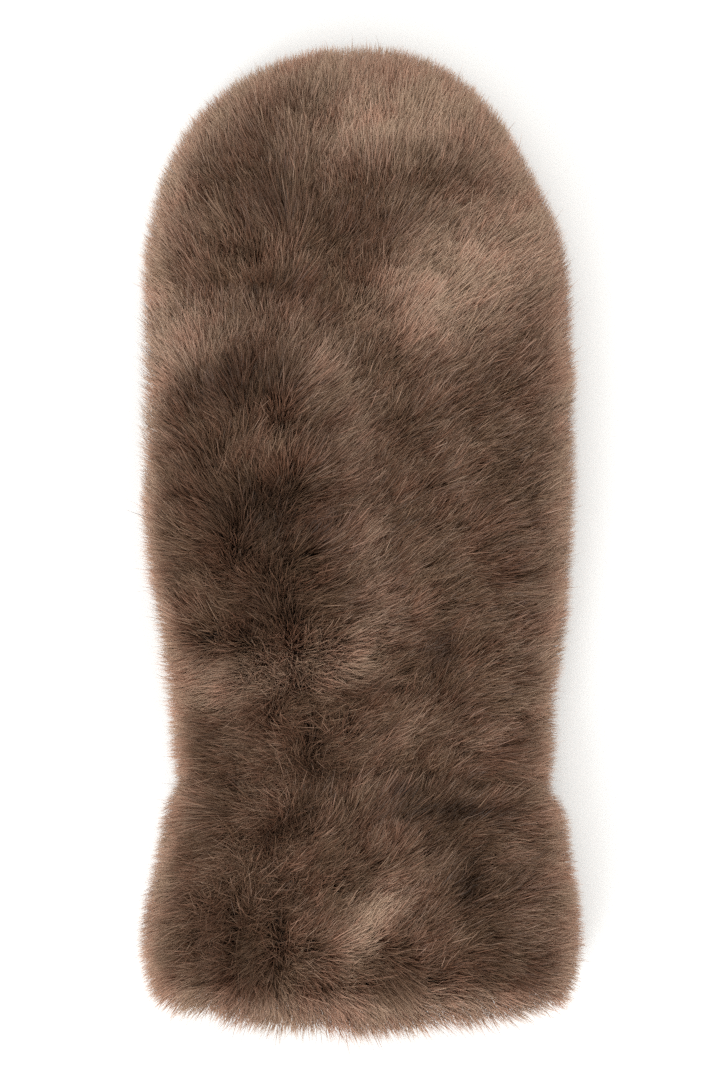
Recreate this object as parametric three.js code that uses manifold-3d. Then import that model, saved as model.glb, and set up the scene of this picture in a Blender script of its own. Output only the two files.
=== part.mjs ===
// A deep-fur mitten for the right hand, lying palm down with its thumb folded beneath the palm.
// Lengths are in millimetres. +X is to the wearer's little finger, +Y to the fingertips and +Z up.
import * as THREE from "three";
import { mergeVertices } from "three/addons/utils/BufferGeometryUtils.js";
import Module from "manifold-3d";

const wasm = await Module();
wasm.setup();

const { clamp, lerp, smoothstep, degToRad, seededRandom } = THREE.MathUtils;

// Driving sizes, over the fur
const LENGTH = 290; // hem to fingertips
const HAND_WIDTH = 128; // widest across the hand
const WRIST_WIDTH = 111.5; // across the gathered wrist
const CUFF_WIDTH = 131; // across the flared cuff

// Driving sizes of the fur and of the cloth under it
const PILE = 9; // how far the fur stands off its backing
const PRESSED_PILE = 3.5; // fur squashed between the mitten and what it lies on
const WALL = 2.5; // backing cloth with its lining
const SEAM_GAP = 0.3; // clearance between two sewn pieces
const LOCK_SPACING = 19; // from one lock of fur to the next
const LOCK_WIDTH = 20; // across one lock

// Driving sizes of the backing
const HAND_THICKNESS = 30; // palm to back, with no hand inside
const WRIST_THICKNESS = 23;
const CUFF_THICKNESS = 27;
const TIP_ROUND = 66; // length of the rounded finger end
const WRIST_FROM_HEM = 57; // corner of the hem to the seam between cuff and hand
const HEM_BOW = 7; // how far the middle of the hem hangs past its corners

// Driving sizes of the thumb's backing
const THUMB_LENGTH = 68; // from its hole in the palm to its tip
const THUMB_WIDTH = 36;
const THUMB_THICKNESS = 20;
const THUMB_TIP_ROUND = 20;
const THUMB_TILT = degToRad(10); // turned out from the mitten's length
const THUMB_SIDE_PILE = 6; // fur at the thumb's sides
const SQUEEZED_PILE = 3; // fur between the thumb and the palm above it

// The backing reaches one pile short of the fur at either end, and hemY is where the hem's corners lie.
const backingLength = LENGTH - 2 * PILE - HEM_BOW;
const hemY = HEM_BOW - (LENGTH / 2 - PILE);
const roundY = hemY + backingLength - TIP_ROUND;
const wristY = hemY + WRIST_FROM_HEM;
const handHalf = HAND_WIDTH / 2 - PILE;
const wristHalf = WRIST_WIDTH / 2 - PILE;
const cuffHalf = CUFF_WIDTH / 2 - PILE;
const MAT_FULLNESS = 1.2; // deeper than the gap it fills, so that the resting plane cuts it flat
const matDepth = MAT_FULLNESS * PRESSED_PILE;

// The backing's sections from hem to fingertips. along is a share of its length, half and thick are the
// sizes that a row follows, and left and right are shares of half. Past roundY the finger end closes.
const SECTIONS = [
  { along: 0.0, half: cuffHalf, left: 0.94, right: 0.93, thick: CUFF_THICKNESS },
  { along: 0.05, half: cuffHalf, left: 0.985, right: 0.975, thick: CUFF_THICKNESS },
  { along: 0.16, half: cuffHalf, left: 0.89, right: 0.91, thick: 0.97 * CUFF_THICKNESS },
  { along: 0.23, half: wristHalf, left: 0.96, right: 0.98, thick: WRIST_THICKNESS },
  { along: 0.3, half: wristHalf, left: 1.0, right: 1.0, thick: 1.04 * WRIST_THICKNESS },
  { along: 0.41, half: handHalf, left: 0.92, right: 0.92, thick: 0.94 * HAND_THICKNESS },
  { along: 0.52, half: handHalf, left: 0.98, right: 0.955, thick: HAND_THICKNESS },
  { along: 0.65, half: handHalf, left: 0.99, right: 0.97, thick: HAND_THICKNESS },
  { along: 0.78, half: handHalf, left: 1.0, right: 0.93, thick: 0.97 * HAND_THICKNESS },
  { along: 1.0, half: handHalf, left: 1.03, right: 0.8, thick: 0.9 * HAND_THICKNESS },
];

// Broad dents in the back. along and across place the middle, reach is a share of the hand's half width
// and depth a share of the pile.
const DENTS = [
  { along: 0.4, across: -0.5, reach: 0.42, depth: 0.3 },
  { along: 0.72, across: -0.32, reach: 0.4, depth: 0.2 },
  { along: 0.56, across: 0.42, reach: 0.3, depth: 0.12 },
  { along: 0.13, across: -0.42, reach: 0.4, depth: 0.3 },
  { along: 0.15, across: 0.55, reach: 0.35, depth: 0.3 },
];

// The thumb's sections from inside the palm to its tip, as shares of its length, width and thickness
const THUMB_SECTIONS = [
  { along: -0.3, width: 0.62, thick: 0.8 },
  { along: -0.1, width: 0.84, thick: 0.94 },
  { along: 0.1, width: 0.97, thick: 1.0 },
  { along: 0.45, width: 1.0, thick: 1.0 },
  { along: 1.0, width: 0.94, thick: 0.96 },
];
const thumbRootX = -0.6 * handHalf;
const thumbRootY = hemY + 0.35 * backingLength;
const thumbAxis = new THREE.Vector2(-Math.sin(THUMB_TILT), Math.cos(THUMB_TILT));

// How the hand is lifted where the thumb lies beneath it
const STEP_LENGTH = 26; // over which the palm climbs at the thumb's hole
const STEP_DOWN_LENGTH = 38; // over which it comes down past the thumb's tip
const STEP_WIDTH = 28; // over which it comes down beside the thumb
const STEP_PAST_TIP = 3; // level over the thumb's tip, before it comes down
const STEP_PAST_SIDE = 1; // and over its side
const BACK_LIFT_SHARE = 0.45; // of the palm's lift that still shows on the back

// Gathers at the elastic of the wrist
const GATHERS = 8;
const GATHER_DEPTH = 1.1;
const GATHER_REACH = 26;

// A share of the way through a table, with every column eased between its rows
function rowAt(table, along) {
  const last = table.length - 1;
  const at = clamp(along, table[0].along, table[last].along);
  const above = table.findIndex((row) => row.along > at);
  const next = above < 1 ? last : above;
  const [a, b] = [table[next - 1], table[next]];
  const even = (at - a.along) / (b.along - a.along);
  return { a, b, share: lerp(even, smoothstep(at, a.along, b.along), 0.5) };
}

function sectionAt(y) {
  const { a, b, share } = rowAt(SECTIONS, (y - hemY) / backingLength);
  return {
    left: lerp(a.left * a.half, b.left * b.half, share),
    right: lerp(a.right * a.half, b.right * b.half, share),
    thick: lerp(a.thick, b.thick, share),
  };
}

// Rounded corners of three kinds: an ellipse at 2, and squarer above it
const TOP_CORNER = 2.15; // of a section's upper half
const PALM_CORNER = 2.8; // of its lower half
const END_CORNER = 2.25; // of the finger end, seen from above
const THUMB_CORNER = 2.3; // of the thumb's section
const rounded = (value, corner) => Math.sign(value) * Math.abs(value) ** (2 / corner);

// The finger end droops, so its last point lies lower than the middle of the hand, and so does the
// thumb's. Each keeps a share of its middle's height over the pressed fur.
const TIP_HEIGHT = 0.5;
const THUMB_TIP_HEIGHT = 0.75;
function centreHeight(y) {
  const half = sectionAt(y).thick / 2;
  const closed = clamp((y - roundY) / TIP_ROUND, 0, 1);
  const open = (1 - closed ** END_CORNER) ** (1 / END_CORNER);
  return PRESSED_PILE + half * lerp(TIP_HEIGHT, 1, open);
}

// Where the thumb lies beneath: 1 over it, 0 well away from it
function overThumb(x, y) {
  const from = new THREE.Vector2(x - thumbRootX, y - thumbRootY);
  const along = from.dot(thumbAxis);
  const beside = from.x * thumbAxis.y - from.y * thumbAxis.x;
  const edge = THUMB_WIDTH / 2 + STEP_PAST_SIDE;
  const end = THUMB_LENGTH + STEP_PAST_TIP;
  const climb = smoothstep(along, -STEP_LENGTH / 2, STEP_LENGTH / 2);
  const fall = 1 - smoothstep(along, end, end + STEP_DOWN_LENGTH);
  const side = 1 - smoothstep(beside, edge, edge + STEP_WIDTH);
  return climb * fall * side;
}

// How far a point of the flat hand is lifted, at a height from -1 on the palm to 1 on the back
function liftAt(x, y, height) {
  const palmLift = (THUMB_THICKNESS + SQUEEZED_PILE) * overThumb(x, y);
  return palmLift * lerp(1, BACK_LIFT_SHARE, (clamp(height, -1, 1) + 1) / 2);
}

function dentAt(x, y) {
  let depth = 0;
  for (const dent of DENTS) {
    const far = Math.hypot(x - dent.across * handHalf, y - hemY - dent.along * backingLength);
    const near = clamp(1 - (far / (dent.reach * handHalf)) ** 2, 0, 1);
    depth += dent.depth * PILE * near * near;
  }
  return depth;
}

// A point of the mitten's form. at is -1 at the hem, 0 where the finger end begins and 1 at its tip,
// angle runs round the section, and grow says how far the form stands off the backing.
function handPoint(at, angle, open, grow) {
  const straight = roundY - hemY;
  const flatY = at < 0 ? roundY + at * straight : roundY + at * (TIP_ROUND + grow.side);
  const section = sectionAt(flatY);
  const corner = Math.sin(angle) < 0 ? PALM_CORNER : TOP_CORNER;
  const across = rounded(Math.cos(angle), corner) * open;
  const up = rounded(Math.sin(angle), corner) * open;
  const half = across < 0 ? section.left : section.right;
  const gathered = Math.max(0, 1 - Math.abs(flatY - wristY) / GATHER_REACH);
  const gather = -GATHER_DEPTH * gathered * (0.5 + 0.5 * Math.cos(GATHERS * angle));
  const x = across * (half + grow.side + gather);
  const lower = clamp((wristY - flatY) / WRIST_FROM_HEM, 0, 1);
  const y = flatY - HEM_BOW * lower * (1 - across * across);
  const over = overThumb(x, y);
  const stretch = up < 0 ? grow.side + grow.mat * (1 - over) : grow.side;
  const rise = up * (section.thick / 2 + stretch + gather);
  const height = rise / (HAND_THICKNESS / 2);
  const dent = Math.max(0, up) * dentAt(x, y);
  return new THREE.Vector3(x, y, centreHeight(flatY) + rise + liftAt(x, y, height) - dent);
}

// The same for the thumb, lying flat under the palm. Its tube starts inside the hand.
const THUMB_START = 0.4; // how far inside, as a share of the tube's straight part
function thumbPoint(at, angle, open, grow) {
  const straight = THUMB_LENGTH - THUMB_TIP_ROUND;
  const tipRound = THUMB_TIP_ROUND + grow.side;
  const along = at < 0 ? straight * (1 + (1 + THUMB_START) * at) : straight + at * tipRound;
  const { a, b, share } = rowAt(THUMB_SECTIONS, along / THUMB_LENGTH);
  const halfWidth = (THUMB_WIDTH / 2) * lerp(a.width, b.width, share);
  const halfThick = (THUMB_THICKNESS / 2) * lerp(a.thick, b.thick, share);
  const across = rounded(Math.cos(angle), THUMB_CORNER) * open * (halfWidth + grow.side);
  const up = rounded(Math.sin(angle), THUMB_CORNER) * open;
  const under = grow.under * (grow.under > 0 ? smoothstep(along, 0, STEP_LENGTH) : 1);
  const rise = up * (halfThick + (up < 0 ? under : grow.top));
  const x = thumbRootX + along * thumbAxis.x + across * thumbAxis.y;
  const y = thumbRootY + along * thumbAxis.y - across * thumbAxis.x;
  const droop = lerp(THUMB_TIP_HEIGHT, 1, open);
  return new THREE.Vector3(x, y, PRESSED_PILE + (THUMB_THICKNESS / 2) * droop + rise);
}

// A closed geometry as a solid: shared corners merged, and triangles that closed up left out
function solidOf(geometry) {
  const bare = geometry.clone();
  bare.deleteAttribute("normal");
  bare.deleteAttribute("uv");
  const merged = mergeVertices(bare, 1e-4);
  const { array } = merged.index;
  const triVerts = [];
  for (let i = 0; i < array.length; i += 3) {
    const [a, b, c] = [array[i], array[i + 1], array[i + 2]];
    if (a !== b && b !== c && c !== a) triVerts.push(a, b, c);
  }
  const vertProperties = new Float32Array(merged.attributes.position.array);
  return new wasm.Manifold(
    new wasm.Mesh({ numProp: 3, vertProperties, triVerts: new Uint32Array(triVerts) }),
  );
}

// A lathe turned round Y, whose rings are then placed one by one as sections of a form. past lets a
// hollow run on through the open end.
function formSolid(pointAt, grow, { around, straightRings, roundRings, past = 0 }) {
  const profile = [new THREE.Vector2(0, -1 - past)];
  if (past > 0) profile.push(new THREE.Vector2(1, -1 - past));
  for (let i = 0; i <= straightRings; i++) {
    profile.push(new THREE.Vector2(1, i / straightRings - 1));
  }
  for (let i = 1; i < roundRings; i++) {
    const turn = (i / roundRings) * (Math.PI / 2);
    profile.push(
      new THREE.Vector2(rounded(Math.cos(turn), END_CORNER), rounded(Math.sin(turn), END_CORNER)),
    );
  }
  profile.push(new THREE.Vector2(0, 1));
  const lathe = new THREE.LatheGeometry(profile, around);
  const position = lathe.attributes.position;
  for (let i = 0; i < position.count; i++) {
    const [x, at, z] = [position.getX(i), position.getY(i), position.getZ(i)];
    const open = Math.hypot(x, z) < 1e-6 ? 0 : Math.hypot(x, z);
    const point = pointAt(at, Math.atan2(z, x), open, grow);
    position.setXYZ(i, point.x, point.y, point.z);
  }
  return solidOf(lathe);
}

// Everything from the resting plane up to a surface, over a stretch of the length
const reach = 1.4 * LENGTH; // past the mitten on every side
const FINE_COLUMNS = 40;
const FINE_ROWS = 60;
const seamHeight = (x, y) => centreHeight(y) + liftAt(x, y, 0);
function spaceUnder(heightAt, yFrom, yTo) {
  const box = new THREE.BoxGeometry(reach, yTo - yFrom, 1, FINE_COLUMNS, FINE_ROWS, 1);
  box.translate(0, (yFrom + yTo) / 2, 0);
  const position = box.attributes.position;
  for (let i = 0; i < position.count; i++) {
    const height = position.getZ(i) > 0 ? heightAt(position.getX(i), position.getY(i)) : 0;
    position.setZ(i, height);
  }
  return solidOf(box);
}
const aboveRest = spaceUnder(() => reach, -reach, reach);
const cuffSpace = spaceUnder(() => reach, -reach, wristY - SEAM_GAP / 2);
const handSpace = spaceUnder(() => reach, wristY + SEAM_GAP / 2, reach);
const underSeam = spaceUnder((x, y) => seamHeight(x, y) - SEAM_GAP / 2, -reach, reach);
const toSeamTop = spaceUnder((x, y) => seamHeight(x, y) + SEAM_GAP / 2, -reach, reach);

// The mitten's forms: the fur's backing with its pressed mat, the hollow, and the thumb's own
const HAND_RINGS = { around: 30, straightRings: 15, roundRings: 5 };
const THUMB_RINGS = { around: 16, straightRings: 5, roundRings: 4 };
const handForm = formSolid(handPoint, { side: 0, mat: matDepth }, HAND_RINGS);
const handRoom = formSolid(handPoint, { side: SEAM_GAP, mat: matDepth }, HAND_RINGS);
const handHollow = formSolid(handPoint, { side: -WALL, mat: 0 }, { ...HAND_RINGS, past: 0.1 });
const thumbForm = formSolid(thumbPoint, { side: 0, top: 0, under: matDepth }, THUMB_RINGS);
const thumbHollow = formSolid(
  thumbPoint,
  { side: -WALL, top: -WALL, under: -WALL },
  { ...THUMB_RINGS, past: 0.2 },
);
const thumbFur = { side: THUMB_SIDE_PILE, top: SQUEEZED_PILE - 2 * SEAM_GAP, under: matDepth };
const thumbReach = formSolid(thumbPoint, thumbFur, THUMB_RINGS);
const thumbRoom = formSolid(
  thumbPoint,
  { side: thumbFur.side + SEAM_GAP, top: thumbFur.top + SEAM_GAP, under: thumbFur.under },
  THUMB_RINGS,
);

// The way the fur is combed, seen from above: out from a parting left of the middle, up over the hand
// and down over the hem. The turns are how fast it does so, for each half length of the mitten.
const PARTING = -0.36; // as a share of the hand's half width
const COMB_AT_WRIST = 0.15;
const TURN_UP = 0.85;
const TURN_DOWN = 2.6;
function combAt(x, y) {
  const parting = PARTING * handHalf;
  const level = (y - wristY) / (backingLength / 2);
  const along = COMB_AT_WRIST + level * (y > wristY ? TURN_UP : TURN_DOWN);
  return new THREE.Vector3((x - parting) / handHalf, along, 0);
}

// One lock: a flattened cone that leaves the backing and bends over the way the fur is combed
const LOCK_SINK = 1.6;
const LOCK_LEAN = 1.4; // sideways for each unit upwards
const LOCK_FULLNESS = 0.85; // swells a lock's middle to nearly the width of its root
const LOCK_BEND = 1.4; // 1 is straight, and more bends the lock nearer its tip
const LOCK_SIDES = 4;
const LOCK_STEPS = 2;
const vary = (seed, low, high) => lerp(low, high, seededRandom(seed));
function lockSolid(root, normal, comb, pile, seed) {
  const lay = comb.clone().addScaledVector(normal, -comb.dot(normal));
  const lean = Math.min(1, lay.length()) * LOCK_LEAN * vary(seed, 0.85, 1.15);
  lay.normalize();
  lay.applyAxisAngle(normal, vary(seed + 7, -0.25, 0.25));
  const side = new THREE.Vector3().crossVectors(normal, lay).normalize();
  const height = pile * vary(seed + 3, 0.88, 1.06) + LOCK_SINK;
  const cone = new THREE.ConeGeometry(LOCK_WIDTH / 2, height, LOCK_SIDES, LOCK_STEPS);
  cone.translate(0, height / 2, 0);
  const position = cone.attributes.position;
  for (let i = 0; i < position.count; i++) {
    const up = position.getY(i);
    const share = clamp(up / height, 0, 1);
    const fullness = 1 + LOCK_FULLNESS * Math.sin(Math.PI * share);
    const point = root.clone();
    point.addScaledVector(normal, up - LOCK_SINK);
    point.addScaledVector(side, position.getX(i) * fullness);
    point.addScaledVector(lay, position.getZ(i) * fullness + lean * height * share ** LOCK_BEND);
    position.setXYZ(i, point.x, point.y, point.z);
  }
  return solidOf(cone);
}

// Locks in staggered rows over a form, from one edge of the free fur round to the other
const ARC_STEPS = 48;
const NUDGE = 0.02; // a small step along a form, to find which way it faces
function lockRows(pointAt, rows, { from, to, pile, comb, seed }) {
  const flush = { side: 0, top: 0, under: 0, mat: 0 };
  const locks = [];
  rows.forEach(({ at, open }, row) => {
    const arc = [];
    for (let i = 0; i <= ARC_STEPS; i++) {
      arc.push(pointAt(at, lerp(from, to, i / ARC_STEPS), open, flush));
    }
    const curve = new THREE.CatmullRomCurve3(arc);
    const count = Math.max(1, Math.round(curve.getLength() / LOCK_SPACING));
    for (let i = 0; i < count; i++) {
      const stagger = row % 2 ? 0.25 : 0.75;
      const angle = lerp(from, to, curve.getUtoTmapping((i + stagger) / count));
      const root = pointAt(at, angle, open, flush);
      const out = pointAt(at, angle, open, { side: 1, top: 1, under: 1, mat: 0 }).sub(root);
      const wider = at > 0 ? Math.min(1, open + NUDGE) : open;
      const onward = pointAt(at - NUDGE / 2, angle, wider, flush);
      const round = pointAt(at, angle + NUDGE, open, flush).sub(root);
      const normal = new THREE.Vector3().crossVectors(round, onward.sub(root)).normalize();
      if (normal.dot(out) < 0) normal.negate();
      locks.push(lockSolid(root, normal, comb(root), pile, seed + 31 * row + i));
    }
  });
  return locks;
}

// Rows of locks one spacing apart: along the straight part, then round the rounded end, whose arc is
// longer than its reach
const ARC_OVER_REACH = 1.25;
const FIRST_ROUND_ROW = 0.1; // how far into its spacing it lies
function rowsOver(straight, round, first) {
  const rows = [];
  const straightRows = Math.round((straight * -first) / LOCK_SPACING);
  for (let i = 0; i < straightRows; i++) rows.push({ at: first * (1 - i / straightRows), open: 1 });
  const roundRows = Math.round((ARC_OVER_REACH * round) / LOCK_SPACING);
  for (let i = 0; i < roundRows; i++) {
    const turn = ((i + FIRST_ROUND_ROW) / roundRows) * (Math.PI / 2);
    rows.push({
      at: rounded(Math.sin(turn), END_CORNER),
      open: rounded(Math.cos(turn), END_CORNER),
    });
  }
  return rows;
}

const handRows = rowsOver(roundY - hemY, TIP_ROUND, -0.97);
const handLocks = lockRows(handPoint, handRows, {
  from: -0.26 * Math.PI,
  to: 1.26 * Math.PI,
  pile: PILE,
  comb: (root) => combAt(root.x, root.y),
  seed: 11,
});
const thumbRows = rowsOver(THUMB_LENGTH - THUMB_TIP_ROUND, THUMB_TIP_ROUND, -0.75);
const thumbLocks = lockRows(thumbPoint, thumbRows, {
  from: 0.85 * Math.PI,
  to: 1.3 * Math.PI,
  pile: THUMB_SIDE_PILE,
  comb: () => new THREE.Vector3(-0.8, 0.6, 0),
  seed: 977,
});

// The largest body of a cut solid, without the crumbs of locks that the cut left loose
function mainBody(solid) {
  return solid.decompose().reduce((most, body) => (body.volume() > most.volume() ? body : most));
}

const union = (...solids) => wasm.Manifold.union(solids);
const furred = union(handForm, ...handLocks).subtract(handHollow);
const palmCoat = furred.subtract(thumbHollow).subtract(thumbRoom.subtract(handForm));
const pieces = {
  back_panel: furred.intersect(handSpace).subtract(toSeamTop),
  palm_panel: palmCoat.intersect(handSpace).intersect(underSeam),
  cuff: furred.intersect(cuffSpace),
  thumb: union(thumbForm, ...thumbLocks)
    .intersect(thumbReach)
    .subtract(thumbHollow)
    .subtract(handRoom)
    .intersect(aboveRest),
};

const FUR_COLOUR = { back_panel: 0x65503f, palm_panel: 0x5c4839, cuff: 0x624c3c, thumb: 0x5f4a3a };

function meshOf(name, solid) {
  const { vertProperties, triVerts, numProp } = mainBody(solid).getMesh();
  const geometry = new THREE.BufferGeometry();
  const corners = new Float32Array((vertProperties.length / numProp) * 3);
  for (let i = 0; i < corners.length / 3; i++) {
    corners.set(vertProperties.subarray(i * numProp, i * numProp + 3), i * 3);
  }
  geometry.setAttribute("position", new THREE.BufferAttribute(corners, 3));
  geometry.setIndex(new THREE.BufferAttribute(new Uint32Array(triVerts), 1));
  geometry.computeVertexNormals();
  const material = new THREE.MeshStandardMaterial({
    color: FUR_COLOUR[name],
    roughness: 0.85,
    metalness: 0,
  });
  const mesh = new THREE.Mesh(geometry, material);
  mesh.name = name;
  return mesh;
}

const mitten = new THREE.Group();
for (const [name, solid] of Object.entries(pieces)) mitten.add(meshOf(name, solid));

// The origin is under the middle of the mitten, on the surface that it lies on.
const extent = new THREE.Box3().setFromObject(mitten);
const middle = extent.getCenter(new THREE.Vector3());
mitten.position.set(-middle.x, -middle.y, 0);

export default mitten;
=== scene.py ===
# %% [markdown]
# # A deep-fur mitten, lying palm down
# This notebook dresses a fur mitten for the right hand. The real one is fake fur: a knitted backing with
# long, soft, brown hair, cut into panels and sewn fur side out, with a thumb, a gathered wrist and a
# flared cuff. The frame holds its solids as broad locks on a cloth backing. Here the backing becomes a
# smooth cloth shell, and the hair becomes real hair: a few hundred thousand thin tapered blades.
# Each cell makes one thing and prints what it made. Lengths are in metres.

# %% Load the frame
import math

import bpy
import numpy as np
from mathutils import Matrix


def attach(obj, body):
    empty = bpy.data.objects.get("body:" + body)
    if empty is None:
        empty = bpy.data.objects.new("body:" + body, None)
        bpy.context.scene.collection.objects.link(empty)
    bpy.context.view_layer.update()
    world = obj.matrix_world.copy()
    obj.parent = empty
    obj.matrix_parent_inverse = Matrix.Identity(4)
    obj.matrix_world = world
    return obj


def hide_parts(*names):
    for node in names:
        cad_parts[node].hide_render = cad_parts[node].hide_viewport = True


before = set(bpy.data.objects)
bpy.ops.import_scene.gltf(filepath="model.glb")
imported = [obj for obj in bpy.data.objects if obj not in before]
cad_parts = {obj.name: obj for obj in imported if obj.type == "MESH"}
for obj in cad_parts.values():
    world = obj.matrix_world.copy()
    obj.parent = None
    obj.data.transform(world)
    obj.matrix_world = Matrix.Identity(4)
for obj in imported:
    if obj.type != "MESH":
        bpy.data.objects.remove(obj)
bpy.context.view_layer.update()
MM = 0.001

# %% [markdown]
# ## The mitten's own measurements
# A maker cuts the panels from a pattern. This is that pattern: the same sizes and section table that the
# solids follow, so that the dressed mitten fills the space its solids hold. The backing lies one pile
# inside the fur. `MIDDLE` is where the pattern's own middle lies in the frame.

# %% Sizes of the pattern
LENGTH = 290 * MM  # hem to fingertips
HAND_WIDTH = 128 * MM
WRIST_WIDTH = 111.5 * MM
CUFF_WIDTH = 131 * MM
PILE = 9 * MM  # how far the fur stands off its backing
PRESSED_PILE = 3.5 * MM  # fur squashed under the mitten
WALL = 2.5 * MM  # backing cloth with its lining
TIP_ROUND = 66 * MM
WRIST_FROM_HEM = 57 * MM
HEM_BOW = 7 * MM
HAND_HALF = HAND_WIDTH / 2 - PILE
WRIST_HALF = WRIST_WIDTH / 2 - PILE
CUFF_HALF = CUFF_WIDTH / 2 - PILE
HAND_THICKNESS = 30 * MM
WRIST_THICKNESS = 23 * MM
CUFF_THICKNESS = 27 * MM
MIDDLE = np.array([-0.18 * MM, -2.97 * MM, 0.0])

BACKING_LENGTH = LENGTH - 2 * PILE - HEM_BOW
HEM_Y = HEM_BOW - (LENGTH / 2 - PILE)
ROUND_Y = HEM_Y + BACKING_LENGTH - TIP_ROUND
WRIST_Y = HEM_Y + WRIST_FROM_HEM

# along the backing as a share, then the half widths left and right of the middle and the thickness
SECTIONS = np.array([
    (0.00, 0.94 * CUFF_HALF, 0.93 * CUFF_HALF, CUFF_THICKNESS),
    (0.05, 0.985 * CUFF_HALF, 0.975 * CUFF_HALF, CUFF_THICKNESS),
    (0.16, 0.89 * CUFF_HALF, 0.91 * CUFF_HALF, 0.97 * CUFF_THICKNESS),
    (0.23, 0.96 * WRIST_HALF, 0.98 * WRIST_HALF, WRIST_THICKNESS),
    (0.30, 1.00 * WRIST_HALF, 1.00 * WRIST_HALF, 1.04 * WRIST_THICKNESS),
    (0.41, 0.92 * HAND_HALF, 0.92 * HAND_HALF, 0.94 * HAND_THICKNESS),
    (0.52, 0.98 * HAND_HALF, 0.955 * HAND_HALF, HAND_THICKNESS),
    (0.65, 0.99 * HAND_HALF, 0.97 * HAND_HALF, HAND_THICKNESS),
    (0.78, 1.00 * HAND_HALF, 0.93 * HAND_HALF, 0.97 * HAND_THICKNESS),
    (1.00, 1.03 * HAND_HALF, 0.80 * HAND_HALF, 0.90 * HAND_THICKNESS),
])

# broad dents in the back: along, across, reach (share of the half hand), depth (share of the pile)
DENTS = (
    (0.40, -0.50, 0.42, 0.30),
    (0.72, -0.32, 0.40, 0.20),
    (0.56, 0.42, 0.30, 0.12),
    (0.13, -0.42, 0.40, 0.30),
    (0.15, 0.55, 0.35, 0.30),
)
print("backing, mm:", round(BACKING_LENGTH / MM), "long, wrist seam", round(WRIST_Y / MM, 1))

# %% Sizes of the thumb
THUMB_LENGTH = 68 * MM
THUMB_HALF = 36 / 2 * MM
THUMB_DEEP = 20 / 2 * MM
THUMB_TIP_ROUND = 20 * MM
THUMB_TILT = math.radians(10)
THUMB_SIDE_PILE = 6 * MM
SQUEEZED_PILE = 3 * MM  # fur between the thumb and the palm above it
THUMB_ROOT = np.array([-0.60 * HAND_HALF, HEM_Y + 0.35 * BACKING_LENGTH])
THUMB_AXIS = np.array([-math.sin(THUMB_TILT), math.cos(THUMB_TILT)])
# along the thumb as a share of its length, then shares of its width and its thickness
THUMB_SECTIONS = np.array([
    (-0.30, 0.62, 0.80),
    (-0.10, 0.84, 0.94),
    (0.10, 0.97, 1.00),
    (0.45, 1.00, 1.00),
    (1.00, 0.94, 0.96),
])
STEP_LENGTH = 26 * MM  # over which the palm climbs at the thumb's hole
STEP_DOWN_LENGTH = 38 * MM  # over which it comes down past the thumb's tip
STEP_WIDTH = 28 * MM  # over which it comes down beside the thumb
STEP_PAST_TIP = 3 * MM  # level over the tip, before it comes down
STEP_PAST_SIDE = 1 * MM  # and over the side
BACK_LIFT_SHARE = 0.45  # of the palm's lift that still shows on the back
GATHERS, GATHER_DEPTH, GATHER_REACH = 8, 1.1 * MM, 26 * MM

# %% [markdown]
# ## The form as a function
# A soft form could be sculpted by hand, but a sewn one follows its pattern, so a formula is truer and can
# be asked for any point. `hand_point` takes arrays of `at` (-1 at the hem, 0 where the finger end starts,
# 1 at the tip) and `angle` (0 at the little finger's side, a quarter turn on the back of the hand) and
# gives the points of the backing there. The thumb is folded beneath, so the palm climbs over it.


# %% The form of the hand and the cuff
def smooth(value, low, high):
    share = np.clip((value - low) / (high - low), 0, 1)
    return share * share * (3 - 2 * share)


def table_at(table, along):
    """Every column of a table, eased between its rows."""
    at = np.clip(along, table[0, 0], table[-1, 0])
    low = np.clip(np.searchsorted(table[:, 0], at, side="right") - 1, 0, len(table) - 2)
    a, b = table[low], table[low + 1]
    even = (at - a[..., 0]) / (b[..., 0] - a[..., 0])
    share = 0.5 * even + 0.5 * even * even * (3 - 2 * even)
    return a[..., 1:] + (b[..., 1:] - a[..., 1:]) * share[..., None]


def rounded(value, corner):
    return np.sign(value) * np.abs(value) ** (2 / corner)


# 2 makes an ellipse, and more makes a fuller corner
TOP_CORNER, PALM_CORNER, END_CORNER, THUMB_CORNER = 2.15, 2.8, 2.25, 2.3


def open_at(at):
    """How far a section of the finger end is still open: 1 where it begins, 0 at the tip."""
    return (1 - np.clip(at, 0, 1) ** END_CORNER) ** (1 / END_CORNER)


def over_thumb(x, y):
    """1 where the palm lies over the thumb, easing to 0 around it."""
    dx, dy = x - THUMB_ROOT[0], y - THUMB_ROOT[1]
    along = dx * THUMB_AXIS[0] + dy * THUMB_AXIS[1]
    beside = dx * THUMB_AXIS[1] - dy * THUMB_AXIS[0]
    edge = THUMB_HALF + STEP_PAST_SIDE
    past = THUMB_LENGTH + STEP_PAST_TIP
    climb = smooth(along, -STEP_LENGTH / 2, STEP_LENGTH / 2)
    return climb * (1 - smooth(along, past, past + STEP_DOWN_LENGTH)) * (
        1 - smooth(beside, edge, edge + STEP_WIDTH))


def lift_at(x, y, height):
    """How far the thumb lifts the form here. Height is -1 on the palm and 1 on the back."""
    palm_lift = (2 * THUMB_DEEP + SQUEEZED_PILE) * over_thumb(x, y)
    return palm_lift * (1 + (BACK_LIFT_SHARE - 1) * (np.clip(height, -1, 1) + 1) / 2)


def dent_at(x, y):
    """The depth of the broad dents in the back."""
    depth = 0 * x
    for along, across, reach, deep in DENTS:
        far = np.hypot(x - across * HAND_HALF, y - HEM_Y - along * BACKING_LENGTH)
        near = np.clip(1 - (far / (reach * HAND_HALF)) ** 2, 0, 1)
        depth = depth + deep * PILE * near * near
    return depth


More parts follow.
